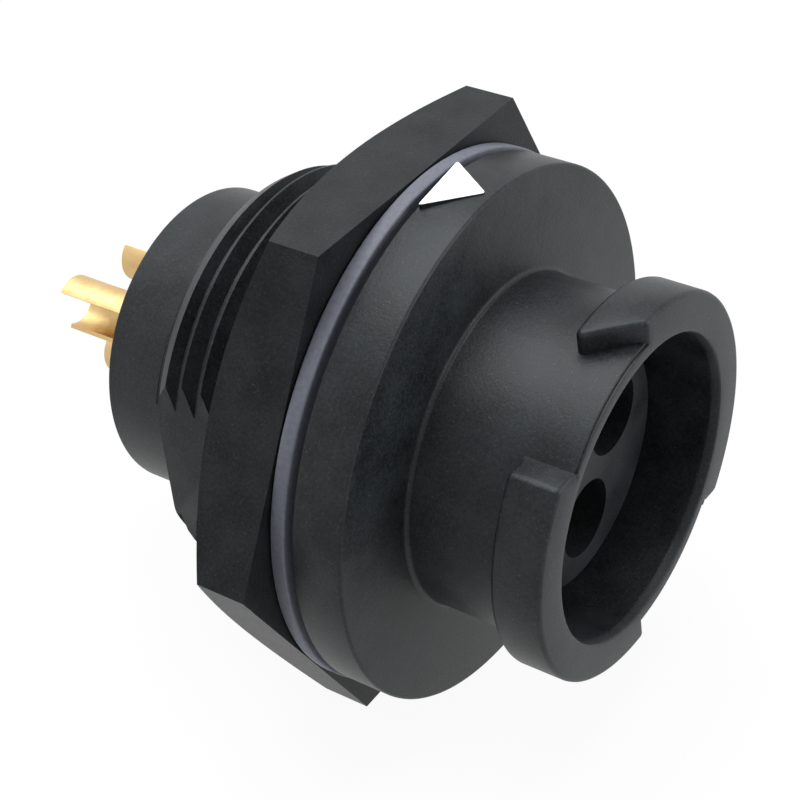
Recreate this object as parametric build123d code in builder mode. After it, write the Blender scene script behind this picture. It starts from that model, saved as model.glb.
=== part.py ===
from build123d import *
import os
from math import cos, degrees, radians, sin, tan

# Panel receptacle of a circular power connector, in millimetres.
# X is the connector's axis and points to the mating side. The origin lies on the axis, in the flange's
# seat face, where the panel gasket lies. Z is up as the part lies on one flat of its nut.
# Angles go round X from +Y towards +Z.

os.makedirs("parts", exist_ok=True)

# Shell: threaded body, behind the seat face
thread_r = 14.0
thread_len = 14.4
thread_lead_depth = 1.3
thread_lead_len = 2.4
thread_flat_depth = 1.65
rear_barrel_r = 10.45
rear_barrel_wall = 1.55
rear_barrel_len = 6.2

# Shell: flange and coupling barrel, in front of the seat face
flange_width = 3.9
flange_thickness = 3.5
flange_front_chamfer = 0.2
coupling_r = 11.2
coupling_wall = 1.0
coupling_len = 10.35
coupling_root_chamfer = 0.3
socket_floor_x = 1.2

# Shell: the two cam lugs on the coupling barrel
lug_height = 1.55
lug_len = 3.45
lug_step_angle = 98.3
lug_step_slant = 42.0
lug_tip_round = 0.4
lug_ramp_top_angle = -35.5
lug_ramp_foot_angle = -40.7
lug_root_depth = 0.4
lug_front_chamfer = 0.4
lug_rear_chamfer = 0.2
lug_count = 2

# Shell: inside, for the inserts
lip_thickness = 2.0
key_width = 2.0
key_height = 0.6
key_root_depth = 0.2
key_len = 4.5
key_from_rear = 4.0
key_angle = 270.0

# Nut and gasket
nut_sides = 6
nut_past_flange = 0.1
nut_thickness = 5.35
nut_cone_inset = 0.5
nut_cone_angle = 30.0
gasket_past_flange = 0.1
gasket_thickness = 1.5
thread_clearance = 0.1
seat_gap = 0.02
nut_to_gasket_gap = 0.08

# Contact insert with its tower
socket_gap = 1.75
tower_recess = 4.25
tower_edge_chamfer = 0.25
insert_clearance = 0.05
insert_rear_x = -9.0
cavity_r = 2.7
cavity_depth = 12.0
contact_pitch_r = 4.0
contact_count = 3
first_contact_angle = 30.0

# Seal between the insert and the shell
seal_front_x = -2.6
seal_width = 1.4
seal_side_gap = 0.1
seal_depth = 1.05
seal_clearance = 0.02

# Rear insert, that keeps the contacts' collars in the contact insert
rear_insert_recess = 1.2
key_clearance = 0.1

# Contacts
pin_r = 1.2
pin_recess = 3.5
pin_tip_chamfer = 0.5
collar_r = 2.5
collar_thickness = 1.6
tail_r = 1.9
bucket_wall = 0.3
contact_clearance = 0.05
line_tail_len = 20.45
line_bucket_depth = 6.6
line_window_len = 5.6
line_window_angle = 46.0
line_window_width = 168.0
earth_tail_len = 20.4
earth_bucket_depth = 7.4
earth_window_len = 6.6
earth_window_angle = 184.0
earth_window_width = 108.0

# Radii that follow from the sizes above
flange_r = thread_r + flange_width
gasket_r = flange_r + gasket_past_flange
nut_across_flats = 2 * (flange_r + nut_past_flange)
nut_cone_r = nut_across_flats / 2 - nut_cone_inset
sliding_bore_r = thread_r + thread_clearance
mouth_r = coupling_r - coupling_wall
lug_r = coupling_r + lug_height
rear_bore_r = rear_barrel_r - rear_barrel_wall
tower_r = mouth_r - socket_gap
lip_r = tower_r + insert_clearance
insert_r = rear_bore_r - insert_clearance
seal_root_r = rear_bore_r - seal_depth

# Stations along X that follow from the sizes above
shoulder_x = -thread_len
shell_rear_x = shoulder_x - rear_barrel_len
mouth_x = flange_thickness + coupling_len
lug_rear_x = mouth_x - lug_len
lug_middle_x = (mouth_x + lug_rear_x) / 2
lip_rear_x = socket_floor_x - lip_thickness
gasket_front_x = -seat_gap
gasket_rear_x = gasket_front_x - gasket_thickness
nut_front_x = gasket_rear_x - nut_to_gasket_gap
nut_rear_x = nut_front_x - nut_thickness
tower_front_x = mouth_x - tower_recess
cavity_floor_x = tower_front_x - cavity_depth
collar_front_x = insert_rear_x + collar_thickness
rear_insert_x = shell_rear_x + rear_insert_recess
pin_tip_x = tower_front_x - pin_recess
key_rear_x = shell_rear_x + key_from_rear


# How near two lengths count as the same, when an edge is looked up
same_within = 0.001


def rims(edges, x, r):
    """The round edges that lie at station x with radius r."""
    return edges.filter_by(GeomType.CIRCLE).filter_by(
        lambda e: abs(e.arc_center.X - x) < same_within and abs(e.radius - r) < same_within
    )


def polar(r, angle):
    """A point of the YZ plane, as its two coordinates there."""
    return (r * cos(radians(angle)), r * sin(radians(angle)))


# Cam lug: full height over most of its turn, with a short flat ramp at one end.
# The other end is a step, cut slantwise, so that the lug ends in a rounded tip at its rear side.
with BuildPart() as cam_lug:
    root_r = coupling_r - lug_root_depth
    tip_angle = lug_step_angle + degrees(lug_len * tan(radians(lug_step_slant)) / lug_r)
    with BuildSketch(Plane.YZ.offset(lug_rear_x)):
        with BuildLine():
            CenterArc((0, 0), lug_r, lug_ramp_top_angle, tip_angle - lug_ramp_top_angle)
            Line(polar(lug_r, tip_angle), polar(root_r, tip_angle))
            CenterArc((0, 0), root_r, lug_ramp_foot_angle, tip_angle - lug_ramp_foot_angle)
            Line(polar(root_r, lug_ramp_foot_angle), polar(coupling_r, lug_ramp_foot_angle))
            Line(polar(coupling_r, lug_ramp_foot_angle), polar(lug_r, lug_ramp_top_angle))
        make_face()
    extrude(amount=lug_len)
    step_y, step_z = polar(1, lug_step_angle + 90)
    step_tilt = radians(lug_step_slant)
    step_plane = Plane(
        origin=(lug_middle_x, 0, 0),
        x_dir=(0, *polar(1, lug_step_angle)),
        z_dir=(sin(step_tilt), cos(step_tilt) * step_y, cos(step_tilt) * step_z),
    )
    split(bisect_by=step_plane, keep=Keep.BOTTOM)
    tip_edge = cam_lug.edges().filter_by(GeomType.LINE).sort_by_distance(
        (lug_rear_x, *polar(lug_r, tip_angle))
    )[0]
    fillet(tip_edge, radius=lug_tip_round)
    chamfer(rims(cam_lug.edges(), mouth_x, lug_r), length=lug_front_chamfer)
    chamfer(rims(cam_lug.edges(), lug_rear_x, lug_r), length=lug_rear_chamfer)


# Shell: one moulding with rear barrel, threaded body, flange and coupling barrel
with BuildPart() as shell:
    with BuildSketch(Plane.XY):
        with BuildLine():
            Polyline(
                (shell_rear_x, rear_bore_r),
                (shell_rear_x, rear_barrel_r),
                (shoulder_x, rear_barrel_r),
                (shoulder_x, thread_r - thread_lead_depth),
                (shoulder_x + thread_lead_len, thread_r),
                (0, thread_r),
                (0, flange_r),
                (flange_thickness, flange_r),
                (flange_thickness, coupling_r),
                (mouth_x, coupling_r),
                (mouth_x, mouth_r),
                (socket_floor_x, mouth_r),
                (socket_floor_x, lip_r),
                (lip_rear_x, lip_r),
                (lip_rear_x, rear_bore_r),
                close=True,
            )
        make_face()
    revolve(axis=Axis.X)
    chamfer(rims(shell.edges(), flange_thickness, flange_r), length=flange_front_chamfer)
    chamfer(rims(shell.edges(), flange_thickness, coupling_r), length=coupling_root_chamfer)
    for turn in range(lug_count):
        add(cam_lug.part.rotate(Axis.X, turn * 360 / lug_count))
    # The flat that keeps the body from turning in its panel hole
    with BuildSketch(Plane.YZ.offset(shoulder_x)):
        with Locations((thread_flat_depth - thread_r, 0)):
            Rectangle(thread_r, 2 * thread_r, align=(Align.MAX, Align.CENTER))
    extrude(amount=thread_len, mode=Mode.SUBTRACT)
    # The key that the rear insert slides over
    with BuildSketch(Plane.YZ.offset(key_rear_x)):
        with Locations(polar(rear_bore_r - key_height, key_angle)):
            Rectangle(key_width, key_height + key_root_depth, align=(Align.CENTER, Align.MAX))
    extrude(amount=key_len)
shell.part.label = "shell"
export_step(shell.part, "parts/shell.step")


# Hex nut: sharp on the gasket side, turned down to a cone on the other
with BuildPart() as hex_nut:
    corner_r = nut_across_flats / 2 / cos(radians(180 / nut_sides))
    cone_reach = corner_r - nut_cone_r
    with BuildSketch(Plane.YZ.offset(nut_rear_x)):
        RegularPolygon(nut_across_flats / 2, nut_sides, major_radius=False)
        Circle(sliding_bore_r, mode=Mode.SUBTRACT)
    extrude(amount=nut_thickness)
    with BuildSketch(Plane.XY):
        Polygon(
            (nut_rear_x, 0),
            (nut_rear_x, nut_cone_r),
            (nut_rear_x + cone_reach * tan(radians(nut_cone_angle)), corner_r),
            (nut_front_x, corner_r),
            (nut_front_x, 0),
            align=None,
        )
    revolve(axis=Axis.X, mode=Mode.INTERSECT)
hex_nut.part.label = "hex_nut"
export_step(hex_nut.part, "parts/hex_nut.step")


# Panel gasket: a flat rubber ring
with BuildPart() as panel_gasket:
    with BuildSketch(Plane.YZ.offset(gasket_rear_x)):
        Circle(gasket_r)
        Circle(sliding_bore_r, mode=Mode.SUBTRACT)
    extrude(amount=gasket_thickness)
panel_gasket.part.label = "panel_gasket"
export_step(panel_gasket.part, "parts/panel_gasket.step")


# Contact insert: tower, shoulder behind the shell's lip, and the seal's groove.
# Each contact has a deep cavity in front, a close hole for its pin and a seat for its collar.
with BuildPart() as contact_insert:
    seal_groove_front_x = seal_front_x + seal_side_gap
    seal_groove_rear_x = seal_front_x - seal_width - seal_side_gap
    with BuildSketch(Plane.XY):
        with BuildLine():
            Polyline(
                (insert_rear_x, 0),
                (insert_rear_x, insert_r),
                (seal_groove_rear_x, insert_r),
                (seal_groove_rear_x, seal_root_r),
                (seal_groove_front_x, seal_root_r),
                (seal_groove_front_x, insert_r),
                (lip_rear_x, insert_r),
                (lip_rear_x, tower_r),
                (tower_front_x, tower_r),
                (tower_front_x, 0),
                close=True,
            )
        make_face()
    revolve(axis=Axis.X)
    chamfer(rims(contact_insert.edges(), tower_front_x, tower_r), length=tower_edge_chamfer)
    with BuildSketch(Plane.YZ.offset(cavity_floor_x)):
        with PolarLocations(contact_pitch_r, contact_count, start_angle=first_contact_angle):
            Circle(cavity_r)
    extrude(amount=cavity_depth, mode=Mode.SUBTRACT)
    with BuildSketch(Plane.YZ.offset(insert_rear_x)):
        with PolarLocations(contact_pitch_r, contact_count, start_angle=first_contact_angle):
            Circle(pin_r + contact_clearance)
    extrude(amount=cavity_floor_x - insert_rear_x, mode=Mode.SUBTRACT)
    with BuildSketch(Plane.YZ.offset(insert_rear_x)):
        with PolarLocations(contact_pitch_r, contact_count, start_angle=first_contact_angle):
            Circle(collar_r + contact_clearance)
    extrude(amount=collar_thickness, mode=Mode.SUBTRACT)
contact_insert.part.label = "contact_insert"
export_step(contact_insert.part, "parts/contact_insert.step")


# Insert seal: a rubber ring that fills its groove
with BuildPart() as insert_seal:
    seal_inner_r = seal_root_r + seal_clearance
    seal_outer_r = rear_bore_r - seal_clearance
    with BuildSketch(Plane.XY):
        with Locations((seal_front_x, seal_inner_r)):
            Rectangle(seal_width, seal_outer_r - seal_inner_r, align=(Align.MAX, Align.MIN))
    revolve(axis=Axis.X)
insert_seal.part.label = "insert_seal"
export_step(insert_seal.part, "parts/insert_seal.step")


# Rear insert: closes the contact insert, slides over the key and is glued into the shell
with BuildPart() as rear_insert:
    with BuildSketch(Plane.YZ.offset(rear_insert_x)):
        Circle(insert_r)
        with PolarLocations(contact_pitch_r, contact_count, start_angle=first_contact_angle):
            Circle(tail_r + contact_clearance, mode=Mode.SUBTRACT)
    extrude(amount=insert_rear_x - rear_insert_x)
    with BuildSketch(Plane.YZ.offset(key_rear_x - key_clearance)):
        slot_bottom_r = rear_bore_r - key_height - key_clearance
        with Locations(polar(slot_bottom_r, key_angle)):
            Rectangle(key_width + 2 * key_clearance, rear_bore_r, align=(Align.CENTER, Align.MAX))
    extrude(amount=insert_rear_x - key_rear_x + key_clearance, mode=Mode.SUBTRACT)
rear_insert.part.label = "rear_insert"
export_step(rear_insert.part, "parts/rear_insert.step")


def contact(angle, tail_len, bucket_depth, window_len, window_angle, window_width):
    """A turned contact: pin, collar and a solder bucket with a window cut in its wall."""
    y, z = polar(contact_pitch_r, angle)
    tip_x = insert_rear_x - tail_len
    bucket_floor_x = tip_x + bucket_depth
    bucket_r = tail_r - bucket_wall
    with BuildPart() as turned:
        with BuildSketch(Plane((0, y, z), x_dir=(1, 0, 0), z_dir=(0, 0, 1))):
            with BuildLine():
                Polyline(
                    (tip_x, bucket_r),
                    (tip_x, tail_r),
                    (insert_rear_x, tail_r),
                    (insert_rear_x, collar_r),
                    (collar_front_x, collar_r),
                    (collar_front_x, pin_r),
                    (pin_tip_x, pin_r),
                    (pin_tip_x, 0),
                    (bucket_floor_x, 0),
                    (bucket_floor_x, bucket_r),
                    close=True,
                )
            make_face()
        revolve(axis=Axis((0, y, z), (1, 0, 0)))
        chamfer(rims(turned.edges(), pin_tip_x, pin_r), length=pin_tip_chamfer)
        with BuildSketch(Plane((tip_x, y, z), x_dir=(0, 1, 0), z_dir=(1, 0, 0))):
            with BuildLine():
                reach = 2 * tail_r
                start = window_angle - window_width / 2
                CenterArc((0, 0), reach, start, window_width)
                Line((0, 0), polar(reach, start))
                Line((0, 0), polar(reach, start + window_width))
            make_face()
        extrude(amount=window_len, mode=Mode.SUBTRACT)
    return turned.part


# Contacts: two line contacts with half open buckets, and the longer earth contact
contact_angles = [first_contact_angle + i * 360 / contact_count for i in range(contact_count)]
for name, angle in (("line_contact_1", contact_angles[0]), ("line_contact_2", contact_angles[2])):
    line_contact = contact(
        angle, line_tail_len, line_bucket_depth, line_window_len, line_window_angle, line_window_width
    )
    line_contact.label = name
    export_step(line_contact, f"parts/{name}.step")

earth_contact = contact(
    contact_angles[1],
    earth_tail_len,
    earth_bucket_depth,
    earth_window_len,
    earth_window_angle,
    earth_window_width,
)
earth_contact.label = "earth_contact"
export_step(earth_contact, "parts/earth_contact.step")
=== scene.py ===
from functools import cached_property
from math import cos, pi, radians, sin, tan

import bmesh
import bpy
from mathutils import Matrix, Vector


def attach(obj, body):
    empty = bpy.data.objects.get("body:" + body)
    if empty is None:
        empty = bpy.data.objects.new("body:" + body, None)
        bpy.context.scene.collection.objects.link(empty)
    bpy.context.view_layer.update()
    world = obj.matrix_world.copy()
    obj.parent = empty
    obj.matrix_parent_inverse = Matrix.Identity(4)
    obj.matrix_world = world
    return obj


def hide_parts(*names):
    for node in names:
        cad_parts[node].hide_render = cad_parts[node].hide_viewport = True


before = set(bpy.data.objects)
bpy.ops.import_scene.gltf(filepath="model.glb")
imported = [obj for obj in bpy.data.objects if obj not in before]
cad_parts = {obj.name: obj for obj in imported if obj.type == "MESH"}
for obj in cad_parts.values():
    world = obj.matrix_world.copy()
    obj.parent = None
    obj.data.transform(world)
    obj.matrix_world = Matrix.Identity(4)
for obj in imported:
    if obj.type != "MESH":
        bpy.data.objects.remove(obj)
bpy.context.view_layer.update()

MM = 0.001
scene = bpy.context.scene


# Shell, the black moulding that everything else sits in or on.
# It is one piece of glass filled nylon: a rear barrel, a threaded body with one flat, the panel flange
# and the coupling barrel with its two cam lugs.
REAR_BARREL_R = 10.45
SHELL_REAR_X = -20.6
SHOULDER_X = -14.4
THREAD_R = 14.0
THREAD_LEAD_DEPTH = 0.9
THREAD_LEAD_LEN = 1.5
FLANGE_R = 17.9
FLANGE_THICKNESS = 3.5
COUPLING_R = 11.2
MOUTH_X = 13.85
MOUTH_R = 10.2
MOUTH_STEP_X = 13.68
MOUTH_STEP_R = 11.03
LEAD_IN_LEN = 0.6
SOCKET_R = 10.0
SOCKET_FLOOR_X = 1.2
LIP_R = 8.5
LIP_REAR_X = -0.8
REAR_BORE_R = 8.9
CORNER_SEGMENTS = 4
RING_STEPS = 160
SEAM_WELD = 0.0005
CREASE_ANGLE = 32
AXIS = Vector((1, 0, 0))


def round_off(bm, geom, size, affect="VERTICES", segments=CORNER_SEGMENTS):
    """Rounds the corners of a flat outline, or the edges of a solid."""
    bmesh.ops.bevel(
        bm,
        geom=geom,
        offset=size * MM,
        affect=affect,
        segments=segments,
        profile=0.5,
        material=-1,
    )


def spin(bm, geom, angle, steps, **more):
    """Spins a section about the connector's axis."""
    bmesh.ops.spin(bm, geom=geom, cent=(0, 0, 0), axis=AXIS, angle=angle, steps=steps, **more)


def turn_outward(bm):
    """Turns all faces of a closed form outward."""
    bmesh.ops.recalc_face_normals(bm, faces=bm.faces[:])


def ring_from_section(corners):
    """A turned ring: corners are (x, r, round) of its half section in order, spun about the X axis."""
    bm = bmesh.new()
    section = [bm.verts.new((x * MM, 0, r * MM)) for x, r, _ in corners]
    bm.faces.new(section)
    for vert, (_, _, size) in zip(section, corners):
        if size > 0:
            round_off(bm, [vert], size)
    bmesh.ops.delete(bm, geom=bm.faces[:], context="FACES_ONLY")
    spin(bm, bm.verts[:] + bm.edges[:], 2 * pi, RING_STEPS, use_merge=True)
    bmesh.ops.remove_doubles(bm, verts=bm.verts[:], dist=SEAM_WELD * MM)
    turn_outward(bm)
    return bm


def piece(name, bm):
    """A scene object that holds the finished bmesh."""
    mesh = bpy.data.meshes.new(name)
    bm.to_mesh(mesh)
    bm.free()
    made = bpy.data.objects.new(name, mesh)
    scene.collection.objects.link(made)
    return made


def carve(body, tool, operation):
    """Joins a tool to a body, cuts it out of it or keeps what they share, then drops the tool."""
    cut = body.modifiers.new("cut", "BOOLEAN")
    cut.operation = operation
    cut.solver = "EXACT"
    cut.object = tool
    graph = bpy.context.evaluated_depsgraph_get()
    result = bpy.data.meshes.new_from_object(body.evaluated_get(graph))
    body.modifiers.clear()
    body.data = result
    bpy.data.objects.remove(tool)


def smooth(body, sharp_angle=CREASE_ANGLE):
    """Smooth shading with creases at the real edges."""
    body.data.polygons.foreach_set("use_smooth", [True] * len(body.data.polygons))
    body.data.set_sharp_from_angle(angle=radians(sharp_angle))


shell = piece(
    "receptacle_shell",
    ring_from_section(
        [
            (SHELL_REAR_X, REAR_BORE_R, 0.12),
            (SHELL_REAR_X, REAR_BARREL_R, 0.15),
            (SHOULDER_X, REAR_BARREL_R, 0.2),
            (SHOULDER_X, THREAD_R - THREAD_LEAD_DEPTH, 0.15),
            (SHOULDER_X + THREAD_LEAD_LEN, THREAD_R, 0),
            (0, THREAD_R, 0),
            (0, FLANGE_R, 0.12),
            (FLANGE_THICKNESS, FLANGE_R, 0.22),
            (FLANGE_THICKNESS, COUPLING_R, 0.35),
            (MOUTH_STEP_X, COUPLING_R, 0.08),
            (MOUTH_STEP_X, MOUTH_STEP_R, 0),
            (MOUTH_X, MOUTH_STEP_R, 0.05),
            (MOUTH_X, MOUTH_R, 0.12),
            (MOUTH_X - LEAD_IN_LEN, SOCKET_R, 0.1),
            (SOCKET_FLOOR_X, SOCKET_R, 0.2),
            (SOCKET_FLOOR_X, LIP_R, 0.1),
            (LIP_REAR_X, LIP_R, 0),
            (LIP_REAR_X, REAR_BORE_R, 0),
        ]
    ),
)


# Cam lugs: each turns 134 degrees at full height and ends in a short ramp. Its other end is a step,
# cut slantwise, with a rounded tip at the rear. The mating ring locks behind the lugs.
LUG_R = 12.75
LUG_FRONT_X = 13.85
LUG_REAR_X = 10.4
LUG_ROOT_R = 10.75
LUG_STEP_ANGLE = 98.3
LUG_STEP_SLANT = 42.0
LUG_BLANK_ANGLE = 112.0
LUG_BLANK_STEPS = 76
LUG_RAMP_TOP_ANGLE = -35.5
LUG_RAMP_FOOT_ANGLE = -40.7
LUG_TIP_ROUND = 0.4
LUG_REAR_LEANS = (-15.6, 10.8, 37.2, 63.6)
LUG_FRONT_LEANS = (-58, -74)
LUG_ROUND = 0.32
LUG_ROUND_SEGMENTS = 3
LUG_CREASE_ANGLE = 40
LUG_FOOT_HEIGHT = 0.2
LUG_CUT_WELD = 0.06


def around(x, r, angle):
    """The place at station x and radius r, at an angle from +Y towards +Z."""
    turn = radians(angle)
    return Vector((x, r * cos(turn), r * sin(turn))) * MM


def shave(bm, place, outward):
    """Cuts off what lies beyond a plane and closes the cut."""
    geom = bm.verts[:] + bm.edges[:] + bm.faces[:]
    cut = bmesh.ops.bisect_plane(bm, geom=geom, plane_co=place, plane_no=outward, clear_outer=True)
    rim = [e for e in cut["geom_cut"] if isinstance(e, bmesh.types.BMEdge)]
    bmesh.ops.holes_fill(bm, edges=rim, sides=0)
    bmesh.ops.remove_doubles(bm, verts=bm.verts[:], dist=LUG_CUT_WELD * MM)
    turn_outward(bm)


def lug_blank(turn):
    """A rectangle spun from beyond the lug's step to the foot of its ramp."""
    bm = bmesh.new()
    section = [
        bm.verts.new(around(x, r, LUG_BLANK_ANGLE + turn))
        for x, r in (
            (LUG_REAR_X, LUG_ROOT_R),
            (LUG_REAR_X, LUG_R),
            (LUG_FRONT_X, LUG_R),
            (LUG_FRONT_X, LUG_ROOT_R),
        )
    ]
    face = bm.faces.new(section)
    sweep = -radians(LUG_BLANK_ANGLE - LUG_RAMP_FOOT_ANGLE)
    spin(bm, [face] + face.edges[:] + section, sweep, LUG_BLANK_STEPS)
    turn_outward(bm)
    return bm


def cut_ramp(bm, turn):
    """Cuts the ramp, from the lug's top down to the barrel."""
    top = around(0, LUG_R, LUG_RAMP_TOP_ANGLE + turn)
    foot = around(0, COUPLING_R, LUG_RAMP_FOOT_ANGLE + turn)
    shave(bm, top, AXIS.cross(foot - top))


def cut_step(bm, turn):
    """Cuts the slanting step. More cuts, each at one distance from a centre, round its two corners."""
    middle_x = (LUG_REAR_X + LUG_FRONT_X) / 2
    place = around(middle_x, LUG_R, LUG_STEP_ANGLE + turn)
    onward = around(0, 1, LUG_STEP_ANGLE + turn + 90) / MM
    slant = radians(LUG_STEP_SLANT)
    shave(bm, place, AXIS * sin(slant) + onward * cos(slant))
    for centre_x, leans in (
        (LUG_REAR_X + LUG_TIP_ROUND, LUG_REAR_LEANS),
        (LUG_FRONT_X - LUG_TIP_ROUND, LUG_FRONT_LEANS),
    ):
        along = centre_x - middle_x
        inward = (-LUG_TIP_ROUND - along * sin(slant)) / cos(slant)
        centre = place + (AXIS * along + onward * inward) * MM
        for lean in leans:
            outward = onward * cos(radians(lean)) - AXIS * sin(radians(lean))
            shave(bm, centre + outward * LUG_TIP_ROUND * MM, outward)


def cam_lug(turn):
    """One lug, with all its creases rounded but those at its foot."""
    bm = lug_blank(turn)
    cut_ramp(bm, turn)
    cut_step(bm, turn)
    above_foot = (COUPLING_R + LUG_FOOT_HEIGHT) * MM
    outer = [e for e in bm.edges if all(v.co.yz.length > above_foot for v in e.verts)]
    creases = [e for e in outer if e.calc_face_angle(0) > radians(LUG_CREASE_ANGLE)]
    round_off(bm, creases, LUG_ROUND, "EDGES", LUG_ROUND_SEGMENTS)
    return bm


for turn in (0, 180):
    carve(shell, piece("lug", cam_lug(turn)), "UNION")


# Flat and thread of the body: the flat stops the shell from turning in its panel hole, and the 1.5 mm
# thread is moulded round the rest. Its grooves run out where the flat cuts them.
FLAT_DISTANCE = 12.35
FLAT_CUT_DEPTH = 4
FLAT_CUT_OVERRUN = 0.5
FLAT_FLANGE_GAP = 0.001
THREAD_PITCH = 1.5
THREAD_DEPTH = 0.9
THREAD_CREST = 0.16
THREAD_ROOT = 0.2
THREAD_STEPS = 96
THREAD_START_TURNS = 2.04
THREAD_SPARE_TURNS = 2
THREAD_END_X = -0.9
THREAD_OVERCUT = 0.2


def flat_block():
    """The block that cuts the flat, from behind the shoulder to the flange."""
    bm = bmesh.new()
    bmesh.ops.create_cube(bm, size=1)
    size = Vector((-SHOULDER_X + FLAT_CUT_OVERRUN, FLAT_CUT_DEPTH, 2 * THREAD_R))
    place = Vector((-size.x / 2 - FLAT_FLANGE_GAP, -FLAT_DISTANCE - size.y / 2, 0))
    bmesh.ops.scale(bm, vec=size * MM, verts=bm.verts[:])
    bmesh.ops.translate(bm, vec=place * MM, verts=bm.verts[:])
    return bm


def thread_groove():
    """The groove of a right-hand thread as one long coil, from behind the shoulder to the flange."""
    turns = (THREAD_END_X - SHOULDER_X + THREAD_SPARE_TURNS * THREAD_PITCH) / THREAD_PITCH
    start_x = SHOULDER_X - THREAD_START_TURNS * THREAD_PITCH
    slope = ((THREAD_PITCH - THREAD_CREST) - THREAD_ROOT) / 2 / THREAD_DEPTH
    half_root = THREAD_ROOT / 2
    half_mouth = half_root + slope * (THREAD_DEPTH + THREAD_OVERCUT)
    bm = bmesh.new()
    section = [
        bm.verts.new(Vector((start_x + dx, 0, r)) * MM)
        for dx, r in (
            (-half_mouth, THREAD_R + THREAD_OVERCUT),
            (-half_root, THREAD_R - THREAD_DEPTH),
            (half_root, THREAD_R - THREAD_DEPTH),
            (half_mouth, THREAD_R + THREAD_OVERCUT),
        )
    ]
    face = bm.faces.new(section)
    edges = face.edges[:]
    bmesh.ops.delete(bm, geom=[face], context="FACES_ONLY")
    advance = (THREAD_PITCH / THREAD_STEPS * MM, 0, 0)
    spin(bm, section + edges, 2 * pi * turns, round(THREAD_STEPS * turns), dvec=advance)
    bmesh.ops.holes_fill(bm, edges=bm.edges[:], sides=0)
    turn_outward(bm)
    return bm


carve(shell, piece("flat_block", flat_block()), "DIFFERENCE")
carve(shell, piece("groove", thread_groove()), "DIFFERENCE")


# Arrow on the flange's rim: a low moulded pad with a flat top, which is painted white. It shows how a
# plug is lined up.
ARROW_CORNERS = ((0.2, -3.1), (-0.47, 2.19), (2.92, -0.08))
ARROW_FOOT_Z = 17.4
ARROW_TOP_Z = 17.99
ARROW_ROUND = 0.22


def draw_out(bm, offset):
    """Draws a flat face out into a solid."""
    drawn = bmesh.ops.extrude_face_region(bm, geom=bm.faces[:])
    raised = [v for v in drawn["geom"] if isinstance(v, bmesh.types.BMVert)]
    bmesh.ops.translate(bm, vec=offset, verts=raised)
    turn_outward(bm)


pad = bmesh.new()
outline = [pad.verts.new(Vector((x, y, ARROW_FOOT_Z)) * MM) for x, y in ARROW_CORNERS]
pad.faces.new(outline)
round_off(pad, outline, ARROW_ROUND)
draw_out(pad, (0, 0, (ARROW_TOP_Z - ARROW_FOOT_Z) * MM))
carve(shell, piece("arrow_pad", pad), "UNION")
smooth(shell)
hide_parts("shell")
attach(shell, "receptacle")


# Surface of the shell: dull charcoal nylon, moulded, with a fine speckle of glass fibre in it.
# The arrow's top is painted white. Nut and inserts are moulded from the same kind of plastic.
GRAIN_SIZE = 0.2
FLOW_SIZE = 2.6
MOTTLE_EDGES = (0.35, 0.8)
SPECKLE_SIZE = 0.11
SPECKLE_EDGES = (0.66, 0.78)
SPECKLE_SHARE = 0.55
PLASTIC_ROUGHNESS = 0.28
PLASTIC_GLOSS = 0.21
SHELL_BUMP = (0.04, 0.7)
PAINT_ROUGHNESS = 0.5
PAINT_EDGE_Z = (ARROW_TOP_Z - 0.04, ARROW_TOP_Z - 0.02)


def rgb(*levels):
    """A colour from three linear levels."""
    return (*levels, 1.0)


def grey(level):
    """A colour with three equal levels."""
    return rgb(level, level, level)


PLASTIC_DARK = rgb(0.0042, 0.0054, 0.0060)
PLASTIC_LIGHT = rgb(0.0215, 0.0248, 0.0268)
SPARKLE = rgb(0.085, 0.093, 0.096)
PAINT = rgb(0.92, 0.92, 0.90)


class Wire:
    """A node's output. Sums and products on it add Math nodes to its tree."""

    def __init__(self, finish, socket):
        self.finish = finish
        self.socket = socket

    def math(self, operation, first, second):
        return self.finish.node("ShaderNodeMath", {0: first, 1: second}, operation=operation)

    def __add__(self, other):
        return self.math("ADD", self, other)

    def __radd__(self, other):
        return self.math("ADD", other, self)

    def __sub__(self, other):
        return self.math("SUBTRACT", self, other)

    def __rsub__(self, other):
        return self.math("SUBTRACT", other, self)

    def __mul__(self, other):
        return self.math("MULTIPLY", self, other)

    def larger(self, other):
        """The larger of two values."""
        return self.math("MAXIMUM", self, other)

    def step(self, low, high):
        """0 below low and 1 above high, with a soft change between."""
        values = {0: self, 1: low, 2: high}
        return self.finish.node("ShaderNodeMapRange", values, interpolation_type="SMOOTHSTEP")


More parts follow.
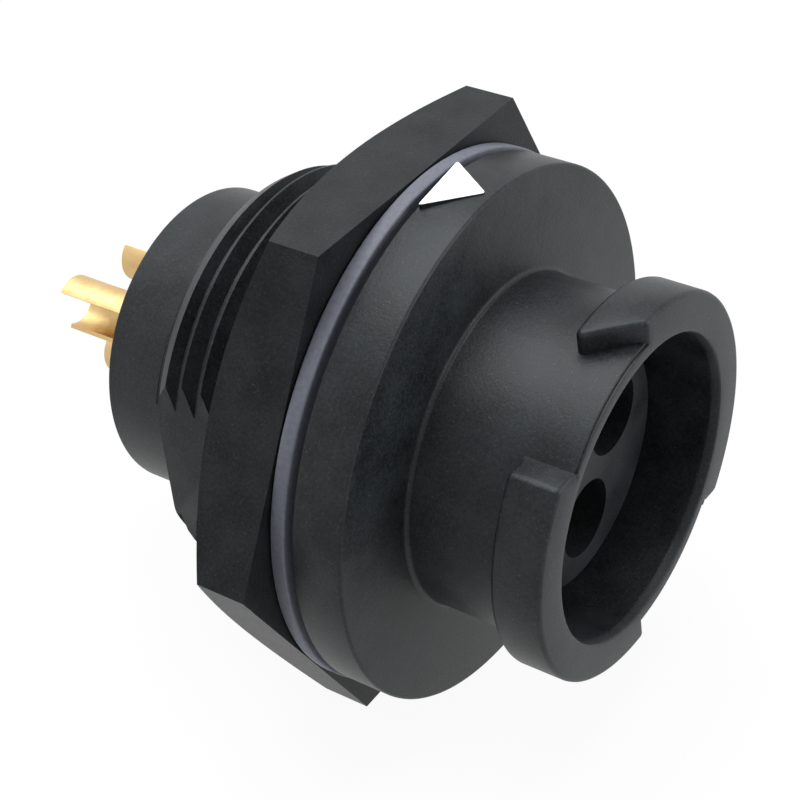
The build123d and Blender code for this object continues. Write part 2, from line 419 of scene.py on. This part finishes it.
class Finish:
    """The node tree of a material, or of the world, in the making."""

    def __init__(self, owner):
        self.owner = owner
        owner.use_nodes = True
        self.tree = owner.node_tree
        self.tree.nodes.clear()

    def node(self, kind, values=None, output=0, **settings):
        """Adds a node, sets it up, fills or links its sockets, and gives one of its outputs."""
        made = self.tree.nodes.new(kind)
        for name, setting in settings.items():
            setattr(made, name, setting)
        for name, value in (values or {}).items():
            socket = made.inputs[name]
            if isinstance(value, Wire):
                self.tree.links.new(value.socket, socket)
            else:
                socket.default_value = value
        return Wire(self, made.outputs[output]) if made.outputs else None

    @cached_property
    def place(self):
        """The object's own coordinates, in millimetres."""
        metres = self.node("ShaderNodeTexCoord", output="Object")
        return self.node("ShaderNodeVectorMath", {0: metres, "Scale": 1 / MM}, operation="SCALE")

    def noise(self, size, detail=2.0, roughness=0.5, stretch=(1, 1, 1)):
        """Noise from 0 to 1 whose lumps are about size millimetres across."""
        scale = tuple(s / size for s in stretch)
        place = self.node("ShaderNodeMapping", {"Vector": self.place, "Scale": scale})
        values = {"Vector": place, "Scale": 1.0, "Detail": detail, "Roughness": roughness}
        return self.node("ShaderNodeTexNoise", values)

    def mix(self, factor, first, second):
        """Two colours mixed by a factor."""
        # Sockets 6 and 7 are the node's two colours, and output 2 is the mixed one
        values = {0: factor, 6: first, 7: second}
        return self.node("ShaderNodeMix", values, 2, data_type="RGBA")

    def surface(self, bump=None, **values):
        """The finished material, with values by socket name. Bump is (height, millimetres, strength)."""
        inputs = {name.replace("_", " "): value for name, value in values.items()}
        if bump:
            height, distance, strength = bump
            relief = {"Height": height, "Distance": distance * MM, "Strength": strength}
            inputs["Normal"] = self.node("ShaderNodeBump", relief)
        shader = self.node("ShaderNodeBsdfPrincipled", inputs)
        self.node("ShaderNodeOutputMaterial", {"Surface": shader})
        return self.owner


def new_finish(name):
    """An empty material."""
    return Finish(bpy.data.materials.new(name))


def moulded_plastic(finish):
    """Colour, roughness and height of the moulded plastic."""
    grain = finish.noise(GRAIN_SIZE, detail=3.0, roughness=0.7)
    flow = finish.noise(FLOW_SIZE, detail=3.0)
    speckle = finish.noise(SPECKLE_SIZE, detail=1.0).step(*SPECKLE_EDGES)
    mottle = (grain * 0.65 + flow * 0.5).step(*MOTTLE_EDGES)
    color = finish.mix(speckle * SPECKLE_SHARE, finish.mix(mottle, PLASTIC_DARK, PLASTIC_LIGHT), SPARKLE)
    rough = PLASTIC_ROUGHNESS + grain * 0.2 + flow * 0.08 - speckle * 0.1
    return color, rough, grain * 0.7 + flow * 0.3


finish = new_finish("charcoal_nylon")
color, rough, height = moulded_plastic(finish)
up = finish.node("ShaderNodeSeparateXYZ", {0: finish.place}, "Z")
painted = up.step(*PAINT_EDGE_Z)
shell.data.materials.append(
    finish.surface(
        Base_Color=finish.mix(painted, color, PAINT),
        Roughness=rough + painted * (PAINT_ROUGHNESS - rough),
        Specular_IOR_Level=PLASTIC_GLOSS,
        bump=(height, *SHELL_BUMP),
    )
)


# Hex nut, 36 mm across its flats, moulded in the same nylon and screwed on from behind.
# Its gasket side is flat with sharp corners, and its other side is turned down to a cone.
NUT_SIDES = 6
NUT_ACROSS_FLATS = 36.0
NUT_REAR_X = -6.95
NUT_FRONT_X = -1.6
NUT_BORE_R = 14.1
NUT_BORE_CHAMFER = 0.5
NUT_CONE_R = 17.5
NUT_CONE_ANGLE = 30.0
NUT_EDGE_ROUND = 0.28
NUT_EDGE_ANGLE = 25
NUT_EDGE_SEGMENTS = 3
NUT_CREASE_ANGLE = 20
NUT_TOOL_OVERRUN = 1
NUT_GLOSS = 0.15
# Painted shade: the nut's colour is the shell's nylon mixed a quarter of the way to black, so the nut
# looks more shaded.
NUT_PAINTED_SHADE = 0.25
NUT_CORNER_R = NUT_ACROSS_FLATS / 2 / cos(pi / NUT_SIDES)


def nut_prism():
    """The plain six-sided block, with a flat below."""
    bm = bmesh.new()
    bmesh.ops.create_circle(bm, cap_ends=True, segments=NUT_SIDES, radius=NUT_CORNER_R * MM)
    upright = Matrix.Rotation(radians(90), 3, "Y")
    bmesh.ops.rotate(bm, cent=(0, 0, 0), matrix=upright, verts=bm.verts[:])
    bmesh.ops.translate(bm, vec=(NUT_REAR_X * MM, 0, 0), verts=bm.verts[:])
    draw_out(bm, ((NUT_FRONT_X - NUT_REAR_X) * MM, 0, 0))
    return bm


def nut_turning():
    """The turned form that the block is cut to: bore, chamfers and rear cone."""
    outer_r = NUT_CORNER_R + NUT_TOOL_OVERRUN
    chamfer_r = NUT_BORE_R + NUT_BORE_CHAMFER
    cone_len = (outer_r - NUT_CONE_R) * tan(radians(NUT_CONE_ANGLE))
    return ring_from_section(
        [
            (NUT_REAR_X, chamfer_r, 0),
            (NUT_REAR_X, NUT_CONE_R, 0),
            (NUT_REAR_X + cone_len, outer_r, 0),
            (NUT_FRONT_X + NUT_TOOL_OVERRUN, outer_r, 0),
            (NUT_FRONT_X + NUT_TOOL_OVERRUN, chamfer_r + NUT_TOOL_OVERRUN, 0),
            (NUT_FRONT_X, chamfer_r, 0),
            (NUT_FRONT_X - NUT_BORE_CHAMFER, NUT_BORE_R, 0),
            (NUT_REAR_X + NUT_BORE_CHAMFER, NUT_BORE_R, 0),
        ]
    )


nut = piece("panel_nut", nut_prism())
carve(nut, piece("turned", nut_turning()), "INTERSECT")
edge_round = nut.modifiers.new("edge_round", "BEVEL")
edge_round.width = NUT_EDGE_ROUND * MM
edge_round.segments = NUT_EDGE_SEGMENTS
edge_round.limit_method = "ANGLE"
edge_round.angle_limit = radians(NUT_EDGE_ANGLE)
edge_round.harden_normals = True
smooth(nut, NUT_CREASE_ANGLE)
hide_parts("hex_nut")
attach(nut, "nut")
finish = new_finish("nut_nylon_painted_shade")
color, rough, height = moulded_plastic(finish)
nut.data.materials.append(
    finish.surface(
        # Painted shade: the same nylon colour, darkened towards black.
        Base_Color=finish.mix(NUT_PAINTED_SHADE, color, grey(0.0)),
        Roughness=rough,
        Specular_IOR_Level=NUT_GLOSS,
        bump=(height, *SHELL_BUMP),
    )
)


# Panel gasket: a flat ring of grey violet rubber that seals flange and panel.
# It is moulded, with soft edges, and a shallow step where it lies on the flange.
GASKET_R = 18.0
GASKET_BORE_R = 14.1
GASKET_FRONT_X = -0.02
GASKET_REAR_X = -1.52
GASKET_STEP_X = -0.5
GASKET_STEP_R = 16.5
GASKET_RIM_ROUND = 0.15
GASKET_EDGE_ROUND = 0.1
GASKET_DARK = rgb(0.088, 0.093, 0.118)
GASKET_LIGHT = rgb(0.118, 0.124, 0.150)
GASKET_MOTTLE_SIZE = 0.3
GASKET_MOTTLE_EDGES = (0.2, 0.8)
GASKET_DUST_SIZE = 0.12
GASKET_ROUGHNESS = 0.5
GASKET_BUMP = (0.02, 0.3)

gasket = piece(
    "panel_gasket_ring",
    ring_from_section(
        [
            (GASKET_REAR_X, GASKET_BORE_R, GASKET_EDGE_ROUND),
            (GASKET_REAR_X, GASKET_R, GASKET_RIM_ROUND),
            (GASKET_STEP_X, GASKET_R, GASKET_RIM_ROUND),
            (GASKET_STEP_X, GASKET_STEP_R, GASKET_EDGE_ROUND),
            (GASKET_FRONT_X, GASKET_STEP_R, 0),
            (GASKET_FRONT_X, GASKET_BORE_R, GASKET_EDGE_ROUND),
        ]
    ),
)
smooth(gasket)
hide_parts("panel_gasket")
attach(gasket, "gasket")
finish = new_finish("gasket_rubber")
mottle = finish.noise(GASKET_MOTTLE_SIZE, detail=3.0).step(*GASKET_MOTTLE_EDGES)
dust = finish.noise(GASKET_DUST_SIZE)
gasket.data.materials.append(
    finish.surface(
        Base_Color=finish.mix(mottle, GASKET_DARK, GASKET_LIGHT),
        Roughness=GASKET_ROUGHNESS + dust * 0.25,
        bump=(dust, *GASKET_BUMP),
    )
)


# Contact insert and rear insert: hard black plastic that carries the contacts.
# The front one is a round tower with a deep cavity before each contact.
INSERT_BUMP = (0.015, 0.3)


def give_finish(names, material):
    """Puts a material on CAD nodes whose shape is kept."""
    for name in names:
        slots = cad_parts[name].data.materials
        slots.clear()
        slots.append(material)


finish = new_finish("insert_plastic")
color, rough, height = moulded_plastic(finish)
insert_plastic = finish.surface(
    Base_Color=color,
    Roughness=rough,
    Specular_IOR_Level=PLASTIC_GLOSS,
    bump=(height, *INSERT_BUMP),
)
give_finish(("contact_insert", "rear_insert"), insert_plastic)


# Insert seal: a black rubber ring in its groove, out of sight between insert and shell.
# It is moulded and a little dusty.
SEAL_DARK = grey(0.012)
SEAL_LIGHT = grey(0.03)
SEAL_DUST_SIZE = 0.2
SEAL_ROUGHNESS = 0.6

finish = new_finish("seal_rubber")
dust = finish.noise(SEAL_DUST_SIZE)
seal_rubber = finish.surface(
    Base_Color=finish.mix(dust, SEAL_DARK, SEAL_LIGHT),
    Roughness=SEAL_ROUGHNESS + dust * 0.2,
)
give_finish(("insert_seal",), seal_rubber)


# Contacts: turned from copper alloy and gold plated, with a solder bucket at the rear.
# Fine turning marks run round them.
GOLD_DARK = rgb(0.60, 0.39, 0.15)
GOLD_LIGHT = rgb(0.70, 0.52, 0.27)
GOLD_CLOUD_SIZE = 1.0
GOLD_ROUGHNESS = 0.34
GOLD_BUMP = (0.09, 0.6)
MARK_SIZE = 0.12
MARK_STRETCH = (1, 0.08, 0.08)

finish = new_finish("gold_plate")
marks = finish.noise(MARK_SIZE, stretch=MARK_STRETCH)
cloud = finish.noise(GOLD_CLOUD_SIZE)
gold_plate = finish.surface(
    Base_Color=finish.mix(cloud, GOLD_DARK, GOLD_LIGHT),
    Metallic=1.0,
    Roughness=GOLD_ROUGHNESS + marks * 0.16,
    bump=(marks * 0.3 + cloud * 0.7, *GOLD_BUMP),
)
give_finish(("line_contact_1", "line_contact_2", "earth_contact"), gold_plate)


# Photographer's table: a plain white sheet under the part.
# It looks white to the camera and in reflections, and still takes a faint shadow.
TABLE_Z = -18.0
TABLE_GAP = 0.02
TABLE_SIZE = 3000.0
TABLE_SHADOW = 0.06
SHEET_DARK = grey(0.84)
SHEET_LIGHT = grey(0.88)
SHEET_FIBRE_SIZE = 4.0
SHEET_ROUGHNESS = 0.8
WHITE = grey(1.0)


def seen(finish):
    """1 for a ray from the camera, from a reflection or through something clear, and 0 for others."""
    camera_ray = finish.node("ShaderNodeLightPath", output="Is Camera Ray")
    glossy_ray = finish.node("ShaderNodeLightPath", output="Is Glossy Ray")
    clear_ray = finish.node("ShaderNodeLightPath", output="Is Transmission Ray")
    return camera_ray.larger(glossy_ray).larger(clear_ray)


sheet = bmesh.new()
bmesh.ops.create_grid(sheet, x_segments=2, y_segments=2, size=TABLE_SIZE / 2 * MM)
bmesh.ops.translate(sheet, vec=(0, 0, (TABLE_Z - TABLE_GAP) * MM), verts=sheet.verts[:])
table = piece("table_top", sheet)
finish = new_finish("white_sheet")
fibre = finish.noise(SHEET_FIBRE_SIZE)
sheet_color = finish.mix(fibre, SHEET_DARK, SHEET_LIGHT)
sheet_values = {"Base Color": sheet_color, "Roughness": SHEET_ROUGHNESS}
paper = finish.node("ShaderNodeBsdfPrincipled", sheet_values)
glow = finish.node("ShaderNodeEmission", {"Color": WHITE, "Strength": 1.0})
share = seen(finish) * (1 - TABLE_SHADOW)
shader = finish.node("ShaderNodeMixShader", {0: share, 1: paper, 2: glow})
finish.node("ShaderNodeOutputMaterial", {"Surface": shader})
table.data.materials.append(finish.owner)


# White paper all round the table: it gives a little light from every side.
# To the camera and in reflections it is pure white.
ROOM_LIGHT = 0.15

room = Finish(bpy.data.worlds.new("white_room"))
light = room.node("ShaderNodeBackground", {"Color": WHITE, "Strength": ROOM_LIGHT})
backdrop = room.node("ShaderNodeBackground", {"Color": WHITE, "Strength": 1.0})
either = room.node("ShaderNodeMixShader", {0: seen(room), 1: light, 2: backdrop})
room.node("ShaderNodeOutputWorld", {"Surface": either})
scene.world = room.owner


# Lamps: three large soft boxes, one overhead and a weaker one on each side.
# Their cloth gives an even and slightly cool light.
LAMP_TINT = (0.95, 0.98, 1.0)
LAMP_AIM = Vector((-3, 0, 0))


def softbox(name, place, width, depth, radiance):
    """A rectangular lamp that looks at the part."""
    lamp = bpy.data.lights.new(name, "AREA")
    lamp.shape = "RECTANGLE"
    lamp.size, lamp.size_y = width * MM, depth * MM
    lamp.energy = radiance * pi * lamp.size * lamp.size_y
    lamp.color = LAMP_TINT
    holder = bpy.data.objects.new(name, lamp)
    scene.collection.objects.link(holder)
    holder.location = Vector(place) * MM
    holder.rotation_euler = (LAMP_AIM - Vector(place)).to_track_quat("-Z", "Y").to_euler()


softbox("overhead", place=(-60, 20, 320), width=300, depth=300, radiance=6.0)
softbox("right", place=(280, 110, 120), width=260, depth=220, radiance=3.6)
softbox("left", place=(-300, 0, 110), width=260, depth=180, radiance=1.0)


# Camera: at the photograph's angle, a little above and in front of the part, held slightly turned.
# Its place, aim and roll come from a fit to the edges of nut, flange and mouth.
CAMERA_PLACE = Vector((54.445, -79.053, 73.461))
CAMERA_AIM = Vector((2.831, -5.714, -7.023))
CAMERA_ROLL = -3.464
CAMERA_LENS = 83.343
CAMERA_SENSOR = 36.0
CAMERA_SHIFT = (-0.06375, 0.21188)
CAMERA_NEAR = 5.0

lens = bpy.data.cameras.new("camera")
lens.lens = CAMERA_LENS
lens.sensor_width = CAMERA_SENSOR
lens.shift_x, lens.shift_y = CAMERA_SHIFT
lens.clip_start = CAMERA_NEAR * MM
camera = bpy.data.objects.new("camera", lens)
scene.collection.objects.link(camera)
camera.location = CAMERA_PLACE * MM
toward = (CAMERA_AIM - CAMERA_PLACE).to_track_quat("-Z", "Y").to_matrix()
camera.rotation_euler = (toward @ Matrix.Rotation(radians(CAMERA_ROLL), 3, "Z")).to_euler()
scene.camera = camera
scene.view_settings.view_transform = "Standard"
